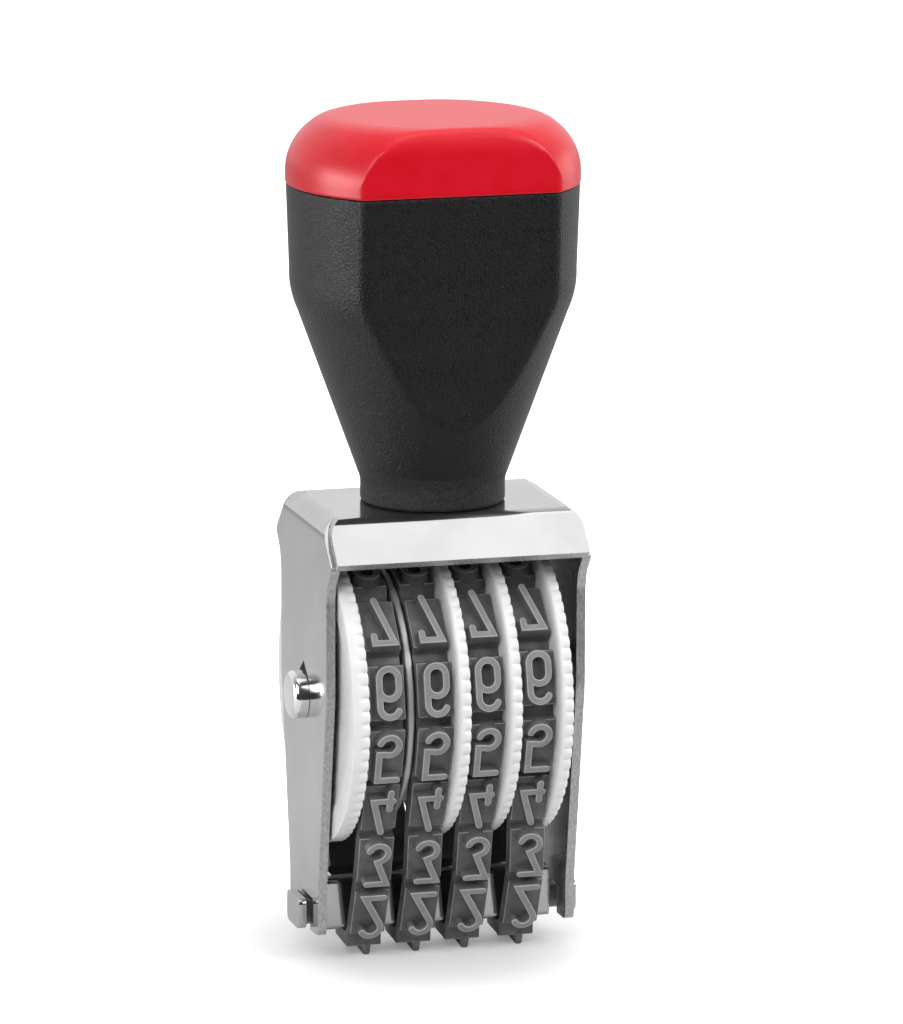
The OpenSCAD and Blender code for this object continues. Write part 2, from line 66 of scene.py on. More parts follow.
class Wire:
    """A node's output; an expression on wires adds its Math nodes."""

    def __init__(self, graph, socket):
        self.graph = graph
        self.socket = socket

    def math(self, operation, *values):
        return self.graph.node("ShaderNodeMath", {"operation": operation}, values)

    def __add__(self, other):
        return self.math("ADD", self, other)

    def __sub__(self, other):
        return self.math("SUBTRACT", self, other)

    def __rsub__(self, other):
        return self.math("SUBTRACT", other, self)

    def __mul__(self, other):
        return self.math("MULTIPLY", self, other)

    __radd__ = __add__
    __rmul__ = __mul__

    def most(self, other):
        return self.math("MAXIMUM", self, other)

    def step(self, low, high):
        """0 below low, 1 above high and a smooth ramp between them."""
        settings = {"interpolation_type": "SMOOTHSTEP"}
        return self.graph.node("ShaderNodeMapRange", settings, (self, low, high))

    def beside(self, name):
        """Another output of the same node."""
        return Wire(self.graph, self.socket.node.outputs[name])


class Graph:
    """A node tree, whose nodes come from one method."""

    def __init__(self, tree):
        self.tree = tree

    def plug(self, socket, value):
        if isinstance(value, Wire):
            self.tree.links.new(value.socket, socket)
        elif isinstance(value, tuple) and len(value) < len(socket.default_value):
            socket.default_value = (*value, 1)
        else:
            socket.default_value = value

    def node(self, kind, settings=None, inputs=(), output=0):
        """A node with its settings made first, then its inputs by name or by order."""
        made = self.tree.nodes.new(kind)
        for key, value in (settings or {}).items():
            setattr(made, key, value)
        named = inputs.items() if isinstance(inputs, dict) else enumerate(inputs)
        for key, value in named:
            self.plug(made.inputs[key], value)
        return Wire(self, made.outputs[output])

    def place(self):
        return self.node("ShaderNodeTexCoord", output="Object")

    def in_view(self, in_mirrors):
        """1 where the camera sees a surface itself, and in_mirrors where metal or glass shows it."""
        camera = self.node("ShaderNodeLightPath", output="Is Camera Ray")
        glossy = camera.beside("Is Glossy Ray").most(camera.beside("Is Transmission Ray"))
        return camera.most(glossy * in_mirrors)

    def mix(self, share, first, second):
        """A colour between two others, through the Mix node's colour sockets."""
        factor, color_a, color_b, result = 0, 6, 7, 2
        inputs = {factor: share, color_a: first, color_b: second}
        return self.node("ShaderNodeMix", {"data_type": "RGBA"}, inputs, result)


class Finish(Graph):
    """A material round its Principled shader; its plain values stay under what is wired in later."""

    def __init__(self, name, color, roughness, metallic=0.0, specular=0.5):
        self.material = bpy.data.materials.new(name)
        self.material.use_nodes = True
        super().__init__(self.material.node_tree)
        self.shader = self.tree.nodes["Principled BSDF"]
        self.set("Base Color", color)
        self.set("Roughness", roughness)
        self.set("Metallic", metallic)
        self.set("Specular IOR Level", specular)

    def set(self, name, value):
        """A value or a wire for one socket of the shader."""
        self.plug(self.shader.inputs[name], value)

    def grain(self, per_mm, detail=2.0, stretch=(1, 1, 1)):
        """Noise from 0 to 1 with per_mm features to the millimetre."""
        scale = tuple(per_mm / MM * k for k in stretch)
        where = self.node("ShaderNodeVectorMath", {"operation": "MULTIPLY"}, (self.place(), scale))
        inputs = {"Vector": where, "Scale": 1.0, "Detail": detail}
        return self.node("ShaderNodeTexNoise", {}, inputs, "Fac")

    def bump(self, height, depth_mm):
        inputs = {"Distance": depth_mm * MM, "Height": height}
        self.set("Normal", self.node("ShaderNodeBump", {}, inputs))


def plated_sheet():
    made = Finish("plated_sheet", (0.48, 0.48, 0.485), 0.12, 1.0)
    clouds = made.grain(0.12, 3)
    lines = made.grain(1.6, 2, (1, 1, 0.03))
    scuffs = made.grain(0.9, 4, (1, 1, 0.3)).step(0.62, 0.8)
    made.set("Base Color", made.mix(clouds.step(0.3, 0.75), (0.455, 0.455, 0.46), (0.505, 0.505, 0.51)))
    made.set("Roughness", 0.08 + clouds * 0.05 + lines * 0.03 + scuffs * 0.1)
    made.bump(clouds * 0.8 + lines * 0.06 + scuffs * 0.05, 0.04)
    return made.material


def sheared_metal():
    made = Finish("sheared_metal", (0.45, 0.45, 0.46), 0.4, 1.0)
    tears = made.grain(5.0, 3, (1, 0.35, 0.35))
    made.set("Base Color", made.mix(tears.step(0.3, 0.7), (0.36, 0.36, 0.37), (0.54, 0.54, 0.55)))
    made.set("Roughness", 0.36 + tears * 0.2)
    made.bump(tears, 0.03)
    return made.material


# Painted shade: plating far darker than the metal is, so that the plates' inner faces look shaded and
# mirror little inside the frame
def painted_shade_sheet():
    made = Finish("painted_shade_sheet", (0.08, 0.08, 0.082), 0.25, 1.0)
    clouds = made.grain(0.2, 3)
    made.set("Roughness", 0.2 + clouds * 0.14)
    made.bump(clouds, 0.03)
    return made.material


def turned_pin():
    made = Finish("turned_pin", (0.78, 0.78, 0.79), 0.15, 1.0)
    rings = made.grain(4.0, 2, (1, 0.05, 0.05))
    specks = made.grain(5.0, 3)
    made.set("Roughness", 0.06 + rings * 0.03 + specks * 0.03)
    made.bump(rings * 0.5 + specks * 0.5, 0.01)
    return made.material


def disc_metal():
    made = Finish("disc_metal", (0.5, 0.5, 0.505), 0.45, 0.55)
    lines = made.grain(2.5, 3, (1, 0.2, 0.2))
    made.set("Roughness", 0.4 + lines * 0.16)
    made.bump(lines, 0.02)
    return made.material


def plain_steel():
    made = Finish("plain_steel", (0.5, 0.5, 0.51), 0.35, 1.0)
    clouds = made.grain(1.2, 3)
    made.set("Roughness", 0.28 + clouds * 0.15)
    made.bump(clouds, 0.02)
    return made.material


def white_plastic():
    made = Finish("white_plastic", (0.84, 0.84, 0.83), 0.42)
    clouds = made.grain(0.25, 3)
    skin = made.grain(6.0, 2)
    made.set("Base Color", made.mix(clouds.step(0.3, 0.75), (0.82, 0.82, 0.81), (0.87, 0.87, 0.865)))
    made.set("Roughness", 0.36 + skin * 0.14)
    made.set("Subsurface Weight", 0.5)
    made.set("Subsurface Radius", (1, 1, 1))
    made.set("Subsurface Scale", 0.5 * MM)
    made.bump(skin * 0.4 + clouds * 0.6, 0.015)
    return made.material


def band_rubber():
    """Dark moulded rubber; its attribute of print and edge highlight is 0.5 along the rounded edges,
    which get a painted highlight, and 1 on the digits' faces, lighter from worn ink and partly from a
    painted sheen.
    """
    made = Finish("band_rubber", (0.1, 0.1, 0.103), 0.5)
    height = made.node("ShaderNodeAttribute", {"attribute_name": "print"}, output="Fac")
    clouds = made.grain(0.5, 4)
    skin = made.grain(9.0, 2)
    dust = made.grain(2.2, 5).step(0.55, 0.75)
    body = made.mix(clouds.step(0.25, 0.8), (0.080, 0.080, 0.082), (0.125, 0.125, 0.128))
    body = made.mix(dust * 0.3, body, (0.2, 0.2, 0.2))
    # Painted highlight: the rounded edges are made lighter, as if they caught the light
    edge = made.mix(height.step(0.15, 0.5), body, (0.40, 0.40, 0.40))
    # The digits' faces: lighter grey from worn ink, and partly a painted sheen
    face = made.mix(clouds.step(0.3, 0.7), (0.21, 0.21, 0.21), (0.25, 0.25, 0.25))
    made.set("Base Color", made.mix(height.step(0.6, 0.95), edge, face))
    made.set("Roughness", 0.44 + skin * 0.12 + dust * 0.1)
    made.bump(skin * 0.5 + clouds * 0.5, 0.03)
    return made.material


def black_plastic():
    """Black and pebbled, with lighter, rougher speckled grain on a collar round the neck."""
    collar_from = NECK_TOP + 1.0
    collar_to = NECK_TOP + 1.6
    made = Finish("black_plastic", (0.006, 0.006, 0.006), 0.4, specular=0.32)
    pebbles = made.grain(3.4, 2)
    fine = made.grain(9.0, 2)
    height = made.node("ShaderNodeSeparateXYZ", {}, (made.place(),), "Z")
    collar_band = 1 - height.step(collar_from * MM, collar_to * MM)
    speckle = made.grain(5.5, 3).step(0.42, 0.62)
    base = made.mix(pebbles, (0.003, 0.003, 0.0032), (0.008, 0.008, 0.0083))
    made.set("Base Color", made.mix(collar_band * speckle * 0.25, base, (0.09, 0.09, 0.09)))
    made.set("Roughness", 0.34 + pebbles * 0.12 + collar_band * 0.1)
    made.bump(pebbles.step(0.3, 0.75) * 0.8 + fine * 0.2 + collar_band * speckle * 0.8, 0.08)
    return made.material


def red_plastic():
    made = Finish("red_plastic", (0.70, 0.004, 0.018), 0.32, specular=0.42)
    clouds = made.grain(0.3, 3)
    skin = made.grain(5.0, 2)
    made.set("Base Color", made.mix(clouds.step(0.3, 0.75), (0.68, 0.003, 0.014), (0.72, 0.005, 0.02)))
    made.set("Roughness", 0.28 + skin * 0.1)
    made.bump(skin * 0.6 + clouds * 0.4, 0.012)
    return made.material


# ---------------------------------------------------------------- meshes

def opened(mesh):
    """A mesh as a bmesh; the mesh goes."""
    work = bmesh.new()
    work.from_mesh(mesh)
    bpy.data.meshes.remove(mesh)
    return work


def closed_up(work, name="solid"):
    """A bmesh as a mesh; the bmesh goes."""
    mesh = bpy.data.meshes.new(name)
    work.to_mesh(mesh)
    work.free()
    return mesh


def in_metres(mesh):
    mesh.transform(Matrix.Scale(MM, 4))
    return mesh


def face_outwards(mesh):
    work = bmesh.new()
    work.from_mesh(mesh)
    bmesh.ops.recalc_face_normals(work, faces=work.faces)
    work.to_mesh(mesh)
    work.free()


def shade(mesh, crease):
    """Smooth shading that breaks at edges sharper than crease degrees."""
    mesh.shade_smooth()
    work = bmesh.new()
    work.from_mesh(mesh)
    limit = math.radians(crease)
    for edge in work.edges:
        edge.smooth = len(edge.link_faces) != 2 or edge.calc_face_angle() < limit
    work.to_mesh(mesh)
    work.free()


def round_edges(work, crease, width):
    """Rounds the edges of a bmesh that are sharper than crease degrees."""
    limit = math.radians(crease)
    sharp = [e for e in work.edges if len(e.link_faces) == 2 and e.calc_face_angle() > limit]
    bmesh.ops.bevel(work, geom=sharp, offset=width, segments=2, profile=0.5, affect="EDGES",
                    clamp_overlap=True)


def place_piece(name, mesh, finishes, body, node):
    """A mesh as a visible piece that stands for a node and rides on a body."""
    mesh.validate()
    for finish in finishes:
        mesh.materials.append(finish)
    piece = bpy.data.objects.new(name, mesh)
    bpy.context.scene.collection.objects.link(piece)
    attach(piece, body)
    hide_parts(node)
    return piece


def make_piece(name, points, faces, crease, finish, body, node):
    """A piece from points in millimetres, smooth up to a crease."""
    mesh = bpy.data.meshes.new(name)
    mesh.from_pydata([(x * MM, y * MM, z * MM) for x, y, z in points], [], faces)
    face_outwards(mesh)
    shade(mesh, crease)
    place_piece(name, mesh, [finish], body, node)


def make_dressed(name, mesh, edge, finishes, node, pick=None):
    """A piece of the stamp from a plain mesh, with its flats joined and its edges rounded."""
    plain_gap = 0.002 * MM
    rounded_gap = 0.001 * MM
    flat_angle = math.radians(1)
    rounded_from = 28
    crease = 40
    mesh.name = name
    mesh.materials.clear()
    work = bmesh.new()
    work.from_mesh(mesh)
    bmesh.ops.remove_doubles(work, verts=work.verts, dist=plain_gap)
    bmesh.ops.dissolve_limit(work, angle_limit=flat_angle, verts=work.verts, edges=work.edges)
    round_edges(work, rounded_from, edge * MM)
    bmesh.ops.remove_doubles(work, verts=work.verts, dist=rounded_gap)
    if pick:
        for face in work.faces:
            face.material_index = pick(face.calc_center_median() / MM, face.normal)
    work.to_mesh(mesh)
    work.free()
    shade(mesh, crease)
    piece = place_piece(name, mesh, finishes, "stamp", node)
    weigh = piece.modifiers.new("flats", "WEIGHTED_NORMAL")
    weigh.keep_sharp = True
    weigh.weight = 80


def repaint(node, finish):
    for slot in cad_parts[node].material_slots:
        slot.material = finish


def skin_faces(rows, columns, ring=False):
    """Quads over rows of points that close; ring joins the last row to the first."""
    faces = []
    for i in range(rows if ring else rows - 1):
        below = i * columns
        above = (i + 1) % rows * columns
        for j in range(columns):
            k = (j + 1) % columns
            faces.append((below + j, below + k, above + k, above + j))
    return faces


def end_faces(rows, columns):
    """The faces that close the first and the last row of points."""
    return [tuple(range(columns)), tuple(range((rows - 1) * columns, rows * columns))]


def solid(points, faces):
    """A bmesh in millimetres with its faces turned outwards."""
    work = bmesh.new()
    verts = [work.verts.new(p) for p in points]
    for face in faces:
        work.faces.new([verts[i] for i in face])
    bmesh.ops.recalc_face_normals(work, faces=work.faces)
    return work


def prism(outline, axis, low, high):
    """A solid from an outline across an axis."""
    points = []
    for level in (low, high):
        for across in outline:
            point = list(across)
            point.insert(axis, level)
            points.append(point)
    count = len(outline)
    return solid(points, skin_faces(2, count) + end_faces(2, count))


def combined(first, others):
    """One mesh from a solid and what is joined to it, cut from it or shared with it."""
    objects = []
    for operation, work in [("", first)] + others:
        made = bpy.data.objects.new("solid", closed_up(work))
        bpy.context.scene.collection.objects.link(made)
        objects.append(made)
        if operation:
            join = objects[0].modifiers.new("join", "BOOLEAN")
            join.operation = operation
            join.solver = "EXACT"
            join.object = made
    depsgraph = bpy.context.evaluated_depsgraph_get()
    result = bpy.data.meshes.new_from_object(objects[0].evaluated_get(depsgraph))
    for made in objects:
        mesh = made.data
        bpy.data.objects.remove(made)
        bpy.data.meshes.remove(mesh)
    return result


def rounded(corners, steps=6):
    """An outline from corners (a, b, radius), each rounded where its radius isn't 0."""
    outline = []
    for i, (a, b, radius) in enumerate(corners):
        corner = Vector((a, b))
        before = (Vector(corners[i - 1][:2]) - corner).normalized()
        after = (Vector(corners[(i + 1) % len(corners)][:2]) - corner).normalized()
        if not radius:
            outline.append(corner)
            continue
        half = before.angle(after) / 2
        middle = corner + (before + after).normalized() * radius / math.sin(half)
        first = corner + before * radius / math.tan(half) - middle
        sweep = first.angle_signed(corner + after * radius / math.tan(half) - middle)
        for j in range(steps + 1):
            turn = Matrix.Rotation(-sweep * j / steps, 2)
            outline.append(middle + turn @ first)
    return outline


def mirrored(corners):
    """Corners on one side of the middle, and the same ones back along the other side."""
    return corners + [(-a, b, radius) for a, b, radius in reversed(corners)]


def round_outline(middle, radius, steps=32):
    outline = []
    for i in range(steps):
        a = 2 * math.pi * i / steps
        outline.append((middle[0] + radius * math.cos(a), middle[1] + radius * math.sin(a)))
    return outline


def round_blend(low, high, share):
    """From low to high, with a soft start and end."""
    share = min(max(share, 0.0), 1.0)
    return low + (high - low) * share * share * (3 - 2 * share)


def soft_max(a, b, width):
    """The larger of two values, blended where they are within width of each other."""
    share = min(max(0.5 + 0.5 * (a - b) / width, 0.0), 1.0)
    return b + (a - b) * share + width * share * (1 - share) / 2


def soft_min(a, b, width):
    return -soft_max(-a, -b, width)


def along(z, low, high):
    """The line through two points (z, value)."""
    return low[1] + (z - low[0]) * (high[1] - low[1]) / (high[0] - low[0])


# ---------------------------------------------------------------- handle

FLAT_FOOT = 12.0
FLAT_SHOULDER = 13.2
FLAT_SEAM = 14.0
FOOT_ROUND = 0.5
# Where the grip turns in to the seam, from below: (distance below the seam, inset)
SEAM_ROUND = [(0.12, 0.05), (0.03, 0.15), (0.0, 0.35)]


def section(radius, flat, corner):
    """A circle cut by two flats at -flat and +flat, with rounded corners, as a list of (x, y)."""
    flat_steps = 10
    corner_steps = 6
    arc_steps = 26
    # A flat that has run out keeps a trace, so that every section has as many points
    flat = min(flat, radius * 0.9998)
    corner = min(corner, flat * 0.8)
    inner = radius - corner
    mid_x = math.sqrt(max(inner * inner - (flat - corner) ** 2, 0.0))
    start = math.atan2(flat - corner, mid_x)
    quarter = [(mid_x * i / flat_steps, flat) for i in range(flat_steps)]
    for i in range(corner_steps):
        a = math.pi / 2 + (start - math.pi / 2) * i / corner_steps
        quarter.append((mid_x + corner * math.cos(a), flat - corner + corner * math.sin(a)))
    for i in range(arc_steps):
        a = start * (1 - i / arc_steps)
        quarter.append((radius * math.cos(a), radius * math.sin(a)))
    right_back = quarter + [(radius, 0.0)]
    right = right_back + [(x, -y) for x, y in reversed(right_back[:-1])]
    left = [(-x, y) for x, y in reversed(right[1:-1])]
    return right + left


def handle_radius(z):
    """Radius of the turned form at height z: neck, cone and grip."""
    neck_blend = 0.4
    shoulder_blend = 0.9
    cone = along(z, (NECK_TOP, NECK_R), (SHOULDER_Z, SHOULDER_R))
    grip = along(z, (SHOULDER_Z, SHOULDER_R), (SEAM_Z, GRIP_R))
    return soft_min(soft_max(NECK_R, cone, neck_blend), grip, shoulder_blend)


def handle_flat(z):
    """Half depth of the flats at height z; below their tip it is the turned form's radius."""
    shoulder_blend = 0.3
    tip_blend = 0.5
    cone = along(z, (FRAME_TOP, FLAT_FOOT), (SHOULDER_Z, FLAT_SHOULDER))
    grip = along(z, (SHOULDER_Z, FLAT_SHOULDER), (SEAM_Z, FLAT_SEAM))
    return soft_min(soft_max(cone, grip, shoulder_blend), handle_radius(z), tip_blend)


def handle_corner(z):
    """Radius of the corners beside the flats at height z."""
    at_neck = 2.6
    at_grip = 1.5
    change_z = 70
    change_h = 18
    return round_blend(at_neck, at_grip, (z - change_z) / change_h)


def handle_stations():
    """Heights of the handle's sections from the foot up, each with its inset: (z, inset)."""
    foot_steps = 4
    spacing = 0.4
    sides_end = SEAM_Z - 0.25
    foot = []
    for i in range(foot_steps + 1):
        a = math.pi / 2 * i / foot_steps
        foot.append((FRAME_TOP + FOOT_ROUND * (1 - math.cos(a)), FOOT_ROUND * (1 - math.sin(a))))
    start = foot[-1][0]
    count = int((SEAM_Z - start) / spacing)
    sides = [(start + (sides_end - start) * i / count, 0.0) for i in range(1, count + 1)]
    return foot + sides + [(SEAM_Z - below, inset) for below, inset in SEAM_ROUND]


def make_handle():
    stations = handle_stations()
    points = []
    for z, inset in stations:
        ring = section(handle_radius(z) - inset, handle_flat(z) - inset, handle_corner(z))
        points += [(x, y, z) for x, y in ring]
    rows = len(stations)
    columns = len(points) // rows
    faces = skin_faces(rows, columns) + end_faces(rows, columns)
    make_piece("handle_grip", points, faces, 50, black_plastic(), "stamp",
               "handle_body")


# ---------------------------------------------------------------- cap

CAP_R = 19.25
CAP_FLAT = 14.1
CAP_CORNER = 1.5
CAP_TOP = 111.4
CAP_CROWN = 0.15
CAP_EDGE = 7.4
CAP_BLEND = 1.4
# The round edge over the flats: its width and its drop
FLAT_EDGE = (1.8, 3.6)
# The foot of the wall from the seam up: (share of the cap's outline, height over the seam)
CAP_FOOT = [(0.985, 0.02), (0.996, 0.07), (1.0, 0.25)]


def edge_drop(inside, width, depth):
    """How far an edge rounded over width and depth has fallen at a distance inside its wall."""
    share = 1 - min(max(inside / width, 0.0), 1.0)
    return depth * (1 - math.sqrt(1 - share * share))


def cap_height(x, y):
    """Height of the cap's top over a point: a low crown whose round edge is tighter over the flats."""
    crown = CAP_TOP - CAP_CROWN * (x * x + y * y) / CAP_R ** 2
    side = edge_drop(CAP_R - math.hypot(x, y), CAP_EDGE, CAP_EDGE)
    front = edge_drop(CAP_FLAT - abs(y), *FLAT_EDGE)
    return crown - soft_max(side, front, CAP_BLEND)


def make_cap():
    wall_steps = 8
    top_steps = 44
    outline = section(CAP_R, CAP_FLAT, CAP_CORNER)
    points = [(x * share, y * share, SEAM_Z + rise) for share, rise in CAP_FOOT for x, y in outline]
    wall_z = points[-1][Z]
    for i in range(1, wall_steps + 1):
        points += [(x, y, wall_z + (cap_height(x, y) - wall_z) * i / wall_steps) for x, y in outline]
    for i in range(1, top_steps):
        share = math.cos(math.pi / 2 * i / top_steps)
        points += [(x * share, y * share, cap_height(x * share, y * share)) for x, y in outline]
    columns = len(outline)
    middle = len(points)
    last = middle - columns
    faces = skin_faces(middle // columns, columns)
    faces += [(last + j, last + (j + 1) % columns, middle) for j in range(columns)]
    faces.append(tuple(reversed(range(columns))))
    points.append((0, 0, cap_height(0, 0)))
    make_piece("red_cap", points, faces, 60, red_plastic(), "stamp", "handle_cap")


# ---------------------------------------------------------------- wheels

RIM_R = 19.6
RIM_W = 1.7
WHEEL_W = 6.8
LIP_W = 0.5
TEETH = 72
TOOTH_H = 0.45
PER_TOOTH = 12
# The rim's surface from its toothed edge inwards: (radius, distance, share of the teeth's depth)
RIM_TEETH = [(RIM_R - 0.1, 0.0, 1), (RIM_R, 0.1, 1), (RIM_R, 0.45, 0.85), (RIM_R, 0.75, 0.55),
             (RIM_R, 1.05, 0.25), (RIM_R, 1.3, 0)]


def tooth_profile(share):
    """Height of the serrations, 0 to 1, at a share of the way from one gap to the next."""
    bluntness = 2.5
    from_middle = abs(share - 0.5) * 2
    return 1 - from_middle ** bluntness


def arc_points(middle, radii, first, last, steps):
    """Points (radius, x) on an ellipse about middle between two angles in degrees."""
    points = []
    for i in range(steps + 1):
        a = math.radians(first + (last - first) * i / steps)
        points.append((middle[0] + radii[0] * math.sin(a), middle[1] - radii[1] * math.cos(a)))
    return points


def untoothed(points):
    """Points (radius, x) of a wheel's outline where it has no teeth."""
    return [(radius, x, 0) for radius, x in points]


def wheel_profile(lip):
    """Closed outline of a wheel, its drum at x = 0: (radius, x, share of the teeth's depth)."""
    bore = 3.25
    hub = 5.6
    drum = 14.8
    drum_wall = 1.5
    drum_x = 0.1
    web_x = WHEEL_W - 1.8
    dish = 16.4
    root = RIM_R - TOOTH_H
    rim_x = WHEEL_W - RIM_W
    end = WHEEL_W + lip
    hollow = drum - drum_wall
    inside = [(bore, 0), (hub, 0), (hub, web_x), (hollow, web_x), (hollow, drum_x), (drum, drum_x),
              (drum, rim_x - 0.3)]
    if lip:
        lip_r = 0.2
        rim = untoothed([(root - 0.1, rim_x)])
        rim += [(r, rim_x + x, depth) for r, x, depth in RIM_TEETH]
        rim += untoothed(arc_points((RIM_R - lip_r, end - lip_r), (lip_r, lip_r), 90, 180, 5))
    else:
        shoulder_w = 0.4
        rim = untoothed(arc_points((RIM_R - 1.3, rim_x + shoulder_w), (1.25, shoulder_w), 0, 90, 8))
        rim += [(r, end - x, depth) for r, x, depth in reversed(RIM_TEETH)]
        rim += untoothed([(root - 0.5, end)])
    dished = [(dish, end), (dish - 0.2, end - 0.08), (dish - 0.8, end - 0.3), (hub, end - 0.5)]
    return untoothed(inside) + rim + untoothed(dished + [(hub, WHEEL_W), (bore, WHEEL_W)])


def make_wheel(index, finish):
    """A thumbwheel; the first one stands the other way round and has a lip."""
    node = f"number_wheel_{index}"
    low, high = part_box(node)
    flipped = index == 1
    profile = wheel_profile(LIP_W if flipped else 0)
    start = high.x / MM if flipped else low.x / MM
    sign = -1 if flipped else 1
    columns = TEETH * PER_TOOTH
    points = []
    for radius, x, depth in profile:
        for j in range(columns):
            r = radius - TOOTH_H * depth * (1 - tooth_profile(j % PER_TOOTH / PER_TOOTH))
            a = 2 * math.pi * j / columns
            points.append((start + sign * x, -r * math.cos(a), AXLE_Z + r * math.sin(a)))
    faces = skin_faces(len(profile), columns, ring=True)
    make_piece(f"thumbwheel_{index}", points, faces, 42, finish, f"wheel_{index}", node)


# ---------------------------------------------------------------- axle

def make_axle():
    """A turned pin with round ends and a groove for each side plate."""
    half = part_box("wheel_axle")[1].x / MM
    radius = 3.2
    rounding = 0.9
    round_steps = 6
    slope = 0.05
    depth = 0.3
    steps = 96
    end = []
    for i in range(round_steps + 1):
        a = math.pi / 2 * i / round_steps
        end.append((half - rounding * (1 - math.cos(a)), rounding * (1 - math.sin(a))))
    groove = [(FRAME_W / 2 + slope, 0.0), (FRAME_W / 2 - slope, depth), (INNER_X + slope, depth),
              (INNER_X - slope, 0.0)]
    right = end + groove
    stations = right + [(-x, inset) for x, inset in reversed(right)]
    points = []
    for x, inset in stations:
        points += [(x, y, z) for y, z in round_outline((0, AXLE_Z), radius - inset, steps)]
    faces = skin_faces(len(stations), steps) + end_faces(len(stations), steps)
    make_piece("axle", points, faces, 35, turned_pin(), "stamp", "wheel_axle")


# ---------------------------------------------------------------- rubber bands

BELT_T = 0.9
PAD_T = 1.05
BASE_T = BELT_T + PAD_T
PAD_LEN = 7.3
PADS = 15
BAND_W = 4.7
BELT_R = 15.5
EDGE_R = 1.1
EDGE_Y = 2.35
EDGE_Z = 4.3
DIGIT_W = 3.4
DIGIT_H = 7.1
STROKE = 0.82
DRAFT = 0.2
RELIEF = 1.25
# How many degrees each band's pads lag behind an even spread, and how far each band drifts sideways
PAD_LAGS = (4.0, 3.8, 2.7, 1.0)
DRIFTS = (0.5, 0.9, 0.7, 1.2)

EDGE_DROP = AXLE_Z - EDGE_Z
EDGE_DIST = math.hypot(EDGE_Y, EDGE_DROP)
RUN_TURN = math.pi / 2 - math.asin((BELT_R - EDGE_R) / EDGE_DIST) + math.atan2(EDGE_Y, EDGE_DROP)
RUN_LEN = math.sqrt(EDGE_DIST ** 2 - (BELT_R - EDGE_R) ** 2)
EDGE_LEN = (EDGE_R + BELT_T) * RUN_TURN
HALF_LOOP = EDGE_Y + EDGE_LEN + RUN_LEN + (BELT_R + BELT_T) * (math.pi - RUN_TURN)
PAD_PITCH = 2 * HALF_LOOP / PADS


def normal(turn):
    """Out of the band, where it has turned by an angle from its lowest stretch."""
    return Vector((0, -math.sin(turn), -math.cos(turn)))


def travel(turn):
    """Along the band, where it has turned by an angle from its lowest stretch."""
    return Vector((0, -math.cos(turn), math.sin(turn)))


def front_place(s, lag):
    """Point and turn of a belt's inner face at distance s from its lowest middle, up the front."""
    edge_mid = Vector((0, -EDGE_Y, EDGE_Z))
    on_edge = s - EDGE_Y
    on_run = on_edge - EDGE_LEN
    on_drum = on_run - RUN_LEN
    if on_edge < 0:
        return Vector((0, -s, EDGE_Z - EDGE_R)), 0.0
    if on_run < 0:
        turn = on_edge / (EDGE_R + BELT_T)
        return edge_mid + EDGE_R * normal(turn), turn
    if on_drum < 0:
        return edge_mid + EDGE_R * normal(RUN_TURN) + on_run * travel(RUN_TURN), RUN_TURN
    even = on_drum / (BELT_R + BELT_T)
    turn = RUN_TURN + even - math.radians(lag) * math.sin(math.pi * even / (math.pi - RUN_TURN))
    return Vector((0, 0, AXLE_Z)) + BELT_R * normal(turn), turn


def belt_place(s, lag):
    """Point and turn at distance s anywhere round the belt."""
    s %= 2 * HALF_LOOP
    if s <= HALF_LOOP:
        return front_place(s, lag)
    point, turn = front_place(2 * HALF_LOOP - s, lag)
    return Vector((0, -point.y, point.z)), 2 * math.pi - turn


def outer_point(s, lag):
    point, turn = belt_place(s, lag)
    return point + BELT_T * normal(turn)


def band_outlines(lag):
    """Side view of a band: its outer face with the pads, from the lowest one round, and its inside."""
    pad_draft = 0.12
    foot_draft = 0.1
    inner_steps = 96
    outer = []
    for i in range(PADS):
        s = i * PAD_PITCH
        point, turn = belt_place(s, lag)
        top = point + BASE_T * normal(turn)
        half = PAD_LEN / 2 * travel(turn)
        drawn = pad_draft * travel(turn)
        outer += [outer_point(s - PAD_LEN / 2 - foot_draft, lag), top - half + drawn,
                  top + half - drawn, outer_point(s + PAD_LEN / 2 + foot_draft, lag)]
    inner = [belt_place(2 * HALF_LOOP * i / inner_steps, lag)[0] for i in range(inner_steps)]
    return outer, inner


def band_body(x, lag):
    """The belt and its pads at a place along the axle, as a bmesh with rounded edges."""
    crease = 35
    edge_w = 0.16
    body = bmesh.new()
    sides = []
    for side_x in (x - BAND_W / 2, x + BAND_W / 2):
        rings = []
        for outline in band_outlines(lag):
            rings.append([body.verts.new((side_x, p.y, p.z)) for p in outline])
        sides.append(rings)
    for left, right in zip(*sides):
        for j in range(len(left)):
            k = (j + 1) % len(left)
            body.faces.new((left[j], left[k], right[k], right[j]))
    for rings in sides:
        edges = []
        for ring in rings:
            edges += [body.edges.get((ring[j], ring[(j + 1) % len(ring)])) for j in range(len(ring))]
        bmesh.ops.triangle_fill(body, use_beauty=True, edges=edges)
    bmesh.ops.recalc_face_normals(body, faces=body.faces)
    round_edges(body, crease, edge_w)
    # A bmesh that is made afresh keeps the order of the points that are added to it
    return opened(closed_up(body))


# ---------------------------------------------------------------- digits

# From a digit's middle to the centre line of its side strokes and of its top stroke
DX = (DIGIT_W - STROKE) / 2
DY = (DIGIT_H - STROKE) / 2
# Half a section of a stroke: (distance from the centre line, height above the pad)
STROKE_SECTION = [(STROKE / 2 + DRAFT, -0.35), (STROKE / 2 + DRAFT, 0.0),
                  (STROKE / 2 + 0.06, RELIEF - 0.16), (STROKE / 2 + 0.01, RELIEF - 0.05),
                  (STROKE / 2 - 0.05, RELIEF - 0.006), (STROKE / 2 - 0.13, RELIEF)]


